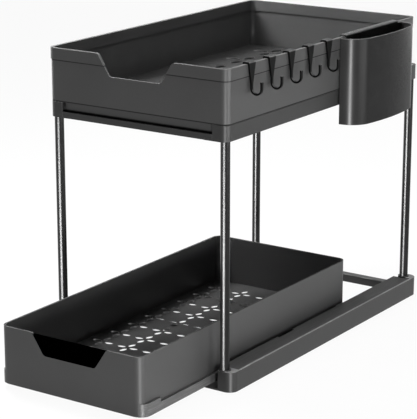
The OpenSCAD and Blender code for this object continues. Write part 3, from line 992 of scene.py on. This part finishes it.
@dataclass
class UpperFrame(Assembly):
    """The ring that carries the upper basket.

    Attributes:
        frame_edge: Radius of the rails' and bars' edges, in millimetres.
        fine_edges: Heights and share of the bars' finer edges.
        ledge: Lower and upper height of the bars' shaded tops, in millimetres.
        clip_edge: Radius of the stop clips' edges, in millimetres.
        screw_edge: Radius of the screws' edges, in millimetres.
    """

    frame_edge: float = 0.6
    fine_edges: EdgeBand = EdgeBand(268.0, 269.2, 0.3)
    ledge: tuple[float, float] = (268.5, 269.5)
    clip_edge: float = 0.3
    screw_edge: float = 0.15

    def parts(self) -> Iterable[RoundedPart]:
        """The upper frame's pieces."""
        look = self.palette
        for side in Side:
            yield RoundedPart("upper_rail_" + side.value, "stand", "frame_plastic", look.frame,
                              self.frame_edge)
        yield RoundedPart("upper_bars", "stand", "frame_plastic", look.frame, self.frame_edge,
                          bands=(self.fine_edges,), tops=(TopFinish(look.ledge, *self.ledge),))
        yield RoundedPart("upper_stop_clips", "stand", "clip_plastic", look.clip, self.clip_edge)
        yield CrossScrews("top_screws", "stand", "screw_steel", look.screw, self.screw_edge)


@dataclass
class LowerDrawer(Assembly):
    """The lower basket and its runners.

    Attributes:
        basket_edge: Radius of the basket's edges, in millimetres.
        floor_edges: Heights and share of the drain holes' finer edges.
        rim_edges: Heights and share of the rim's edges.
        floor: Lower and upper height of the floor's top, in millimetres.
        rim: Lower and upper height of the rim and of the notch's sill, in
            millimetres.
        runner_edge: Radius of the runners' edges, in millimetres.
    """

    basket_edge: float = 0.8
    floor_edges: EdgeBand = EdgeBand(11.0, 13.6, 0.15)
    rim_edges: EdgeBand = EdgeBand(67.0, 68.5, 0.7)
    floor: tuple[float, float] = (12.0, 13.6)
    rim: tuple[float, float] = (40.0, 68.5)
    runner_edge: float = 0.6

    def parts(self) -> Iterable[RoundedPart]:
        """The lower drawer's pieces."""
        look = self.palette
        # The floor tops get painted shade and the rim tops painted light.
        yield RoundedPart("lower_basket", "lower_drawer", "basket_plastic", look.basket,
                          self.basket_edge, bands=(self.floor_edges, self.rim_edges),
                          tops=(TopFinish(look.floor, *self.floor), TopFinish(look.rim, *self.rim)))
        for side in Side:
            yield RoundedPart("lower_runner_" + side.value, "lower_drawer", "runner_plastic",
                              look.runner, self.runner_edge)


@dataclass
class UpperDrawer(Assembly):
    """The upper basket and its runners.

    Attributes:
        basket_edge: Radius of the basket's edges, in millimetres.
        floor_edges: Heights and share of the drain holes' finer edges.
        step_edges: Heights and share of the rim band's lower edges.
        rim_edges: Heights and share of the rim's upper edges.
        floor: Lower and upper height of the floor's top, in millimetres.
        notch: Lower and upper height of the grip notch's sill, in millimetres.
        rim: Lower and upper height of the rim, in millimetres.
        runner_edge: Radius of the runners' edges, in millimetres.
    """

    basket_edge: float = 0.7
    floor_edges: EdgeBand = EdgeBand(279.0, 281.6, 0.15)
    step_edges: EdgeBand = EdgeBand(321.5, 323.5, 0.25)
    rim_edges: EdgeBand = EdgeBand(332.8, 335.0, 0.4)
    floor: tuple[float, float] = (280.0, 281.6)
    notch: tuple[float, float] = (311.0, 313.3)
    rim: tuple[float, float] = (332.9, 335.0)
    runner_edge: float = 0.5

    def parts(self) -> Iterable[RoundedPart]:
        """The upper drawer's pieces."""
        look = self.palette
        # The floor tops get painted shade, and the notch sill and rim tops painted light.
        yield RoundedPart("upper_basket", "upper_drawer", "basket_plastic", look.basket,
                          self.basket_edge, bands=(self.floor_edges, self.step_edges, self.rim_edges),
                          tops=(TopFinish(look.upper_floor, *self.floor),
                                TopFinish(look.rim, *self.notch),
                                TopFinish(look.rim, *self.rim)))
        for side in Side:
            yield RoundedPart("upper_runner_" + side.value, "upper_drawer", "runner_plastic",
                              look.runner, self.runner_edge)


@dataclass
class RimHooks(Assembly):
    """The hooks on the right rim.

    Attributes:
        count: Number of hooks.
        edge: Radius of the hooks' edges, in millimetres.
    """

    count: int = 5
    edge: float = 0.45

    def parts(self) -> Iterable[RoundedPart]:
        """The hooks."""
        for number in range(1, self.count + 1):
            yield RoundedPart(f"hook_{number}", f"hook_{number}_body", "hook_plastic",
                              self.palette.hook, self.edge)


@dataclass
class HangingCup(Assembly):
    """The cup that hangs on the right rim.

    Attributes:
        edge: Radius of the cup's edges, in millimetres.
    """

    edge: float = 0.8

    def parts(self) -> Iterable[RoundedPart]:
        """The cup."""
        yield RoundedPart("cup", "cup_body", "basket_plastic", self.palette.cup, self.edge)


@dataclass
class Lamp:
    """A soft rectangular studio lamp.

    Attributes:
        name: The lamp's name.
        place: Middle of the lamp, in millimetres.
        aim: Point it faces, in millimetres.
        size: Width and height, in millimetres.
        glow: Brightness of its surface, where 1 is white.
        only: Pieces it lights, or none for all.
        shaded_by: Pieces that block it, or none for all.
    """

    name: str
    place: tuple[float, float, float]
    aim: tuple[float, float, float]
    size: tuple[float, float]
    glow: float
    only: Sequence[bpy.types.Object] = ()
    shaded_by: Sequence[bpy.types.Object] = ()

    def build(self) -> bpy.types.Object:
        """Hang the lamp.

        Returns:
            The lamp object.
        """
        light = bpy.data.lights.new(self.name, "AREA")
        light.shape = "RECTANGLE"
        light.size = self.size[0] * MM
        light.size_y = self.size[1] * MM
        light.energy = self.glow * POWER_OF_WHITE * light.size * light.size_y
        lamp = bpy.data.objects.new(self.name, light)
        bpy.context.scene.collection.objects.link(lamp)
        lamp.location = Vector(self.place) * MM
        lamp.rotation_mode = "QUATERNION"
        facing = Vector(self.aim) - Vector(self.place)
        lamp.rotation_quaternion = facing.to_track_quat("-Z", "Y")
        lamp.visible_camera = False
        if self.only:
            lamp.light_linking.receiver_collection = self.group("lit", self.only)
        if self.shaded_by:
            lamp.light_linking.blocker_collection = self.group("shaded_by", self.shaded_by)
        return lamp

    def group(self, label: str, pieces: Sequence[bpy.types.Object]) -> bpy.types.Collection:
        """Collect pieces for the lamp's light linking.

        Args:
            label: What the group is for.
            pieces: The pieces.

        Returns:
            The collection.
        """
        group = bpy.data.collections.new(f"{self.name}_{label}")
        for piece in pieces:
            group.objects.link(piece)
        return group


def plan_lamps(built: dict[type[Assembly], list[bpy.types.Object]]) -> list[Lamp]:
    """Plan the lamps, some of which light or are blocked by some pieces only.

    Args:
        built: The pieces of each sub-assembly.

    Returns:
        The lamps, not yet hung.
    """
    every = [piece for pieces in built.values() for piece in pieces]
    posts = [piece for piece in built[Posts] if piece.name.startswith("post_")]
    cup = built[HangingCup]
    moulded = [piece for piece in every if piece not in posts + cup]
    return [
        Lamp("overhead_lamp", place=(0, 20, 1150), aim=(0, 20, 0), size=(700, 700), glow=1.8),
        Lamp("right_lamp", place=(1500, 0, 95), aim=(0, 0, 150), size=(1000, 230), glow=3.7),
        Lamp("rear_wall_lamp", place=(-420, -20, 850), aim=(0, 190, 300), size=(300, 300),
             glow=13.5),
        Lamp("left_lamp", place=(-1500, 0, 220), aim=(0, 0, 150), size=(1000, 260), glow=1.0),
        Lamp("back_lamp", place=(0, 1600, 220), aim=(0, 0, 150), size=(900, 260), glow=1.0),
        Lamp("corner_lamp", place=(1150, -1150, -300), aim=(0, -100, 150), size=(150, 420),
             glow=33.0, only=moulded, shaded_by=every),
        Lamp("post_lamp", place=(130, -1494, -270), aim=(0, 0, 150), size=(900, 350),
             glow=60.0, only=posts, shaded_by=posts),
        Lamp("cup_lamp", place=(672, -1311, -133), aim=(110, 80, 280), size=(140, 500),
             glow=105.0, only=cup, shaded_by=cup),
    ]


@dataclass
class Studio:
    """Pale floor, soft lamps and the camera of the photograph's view.

    Attributes:
        aim: Point that the camera faces, in millimetres.
        distance: Distance of the camera from that point, in millimetres.
        turn: Angle of the camera to the right of the object's front, in degrees.
        tilt: Angle of the camera above the horizon, in degrees.
        focal_pixels: Focal length, in pixels of the picture.
        near: Nearest distance that the camera shows, in millimetres.
        far: Furthest distance that the camera shows, in millimetres.
        sky: Strength of the even light from all sides.
        floor_reach: Half the floor's width, in millimetres.
        floor_cells: Cells along each side of the floor.
        floor_drop: How far the floor lies below the feet, in millimetres.
        floor_paint: Share of light that the floor's paint returns.
        floor_glow: Share of the floor's white that hides its shading.
        lamps: The lamps.
    """

    aim: tuple[float, float, float] = (-41.26, 32.37, 132.45)
    distance: float = 1986.8
    turn: float = 34.178
    tilt: float = 15.439
    focal_pixels: float = 1775.14
    near: float = 50.0
    far: float = 50000.0
    sky: float = 0.04
    floor_reach: float = 12000.0
    floor_cells: int = 8
    floor_drop: float = 0.1
    floor_paint: float = 0.82
    floor_glow: float = 0.95
    lamps: list[Lamp] = field(default_factory=list)

    def camera(self) -> bpy.types.Object:
        """Set up the camera.

        Returns:
            The camera object.
        """
        turn, tilt = math.radians(self.turn), math.radians(self.tilt)
        ahead = Vector((-math.sin(turn) * math.cos(tilt), math.cos(turn) * math.cos(tilt),
                        -math.sin(tilt)))
        lens = bpy.data.cameras.new("view")
        lens.sensor_width = SENSOR_WIDTH
        lens.lens = self.focal_pixels * SENSOR_WIDTH / PICTURE_SIDE
        lens.clip_start = self.near * MM
        lens.clip_end = self.far * MM
        camera = bpy.data.objects.new("view", lens)
        bpy.context.scene.collection.objects.link(camera)
        camera.location = (Vector(self.aim) - ahead * self.distance) * MM
        camera.rotation_mode = "QUATERNION"
        camera.rotation_quaternion = ahead.to_track_quat("-Z", "Y")
        bpy.context.scene.camera = camera
        return camera

    def world(self) -> None:
        """Light the scene evenly, and show white behind the object."""
        world = bpy.data.worlds.new("studio")
        bpy.context.scene.world = world
        world.use_nodes = True
        sheet = NodeSheet(world.node_tree)
        strength = sheet.spread(sheet.background_rays(), self.sky, 1.0, 0.0, 1.0)
        glow = sheet.add("Background", Color=WHITE, Strength=strength)
        sheet.add("OutputWorld", Surface=glow.outputs[0])

    def floor(self) -> bpy.types.Object:
        """Lay the pale floor.

        Returns:
            The floor object.
        """
        shape = bmesh.new()
        bmesh.ops.create_grid(shape, x_segments=self.floor_cells, y_segments=self.floor_cells,
                              size=self.floor_reach * MM)
        mesh = bpy.data.meshes.new("floor")
        shape.to_mesh(mesh)
        shape.free()
        floor = bpy.data.objects.new("floor", mesh)
        bpy.context.scene.collection.objects.link(floor)
        floor.location.z = -self.floor_drop * MM
        sheet = ShaderSheet("pale_floor")
        share = sheet.times(sheet.background_rays(), self.floor_glow)
        paint = sheet.add("BsdfDiffuse", Color=(self.floor_paint, self.floor_paint,
                                                self.floor_paint, 1.0))
        glow = sheet.add("Emission", Color=WHITE, Strength=1.0)
        both = sheet.add("MixShader", _0=share, _1=paint.outputs[0], _2=glow.outputs[0])
        mesh.materials.append(sheet.close(both.outputs[0]))
        return floor

    def build(self) -> None:
        """Set up the whole studio."""
        self.camera()
        self.world()
        self.floor()
        for lamp in self.lamps:
            lamp.build()
        bpy.context.scene.view_settings.view_transform = "Standard"


def main() -> None:
    """Build the object's looks and the studio, and report each piece."""
    logging.basicConfig(level=logging.INFO, format="%(name)s: %(message)s")
    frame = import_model()
    palette = Palette()
    kinds: tuple[type[Assembly], ...] = (BaseFrame, Posts, UpperFrame, LowerDrawer,
                                         UpperDrawer, RimHooks, HangingCup)
    built: dict[type[Assembly], list[bpy.types.Object]] = {}
    for kind in kinds:
        built[kind] = kind(frame["nodes"], palette).build()
        for piece in built[kind]:
            LOG.info("%s made %s", kind.__name__, piece.name)
    Studio(lamps=plan_lamps(built)).build()


if __name__ == "__main__":
    main()
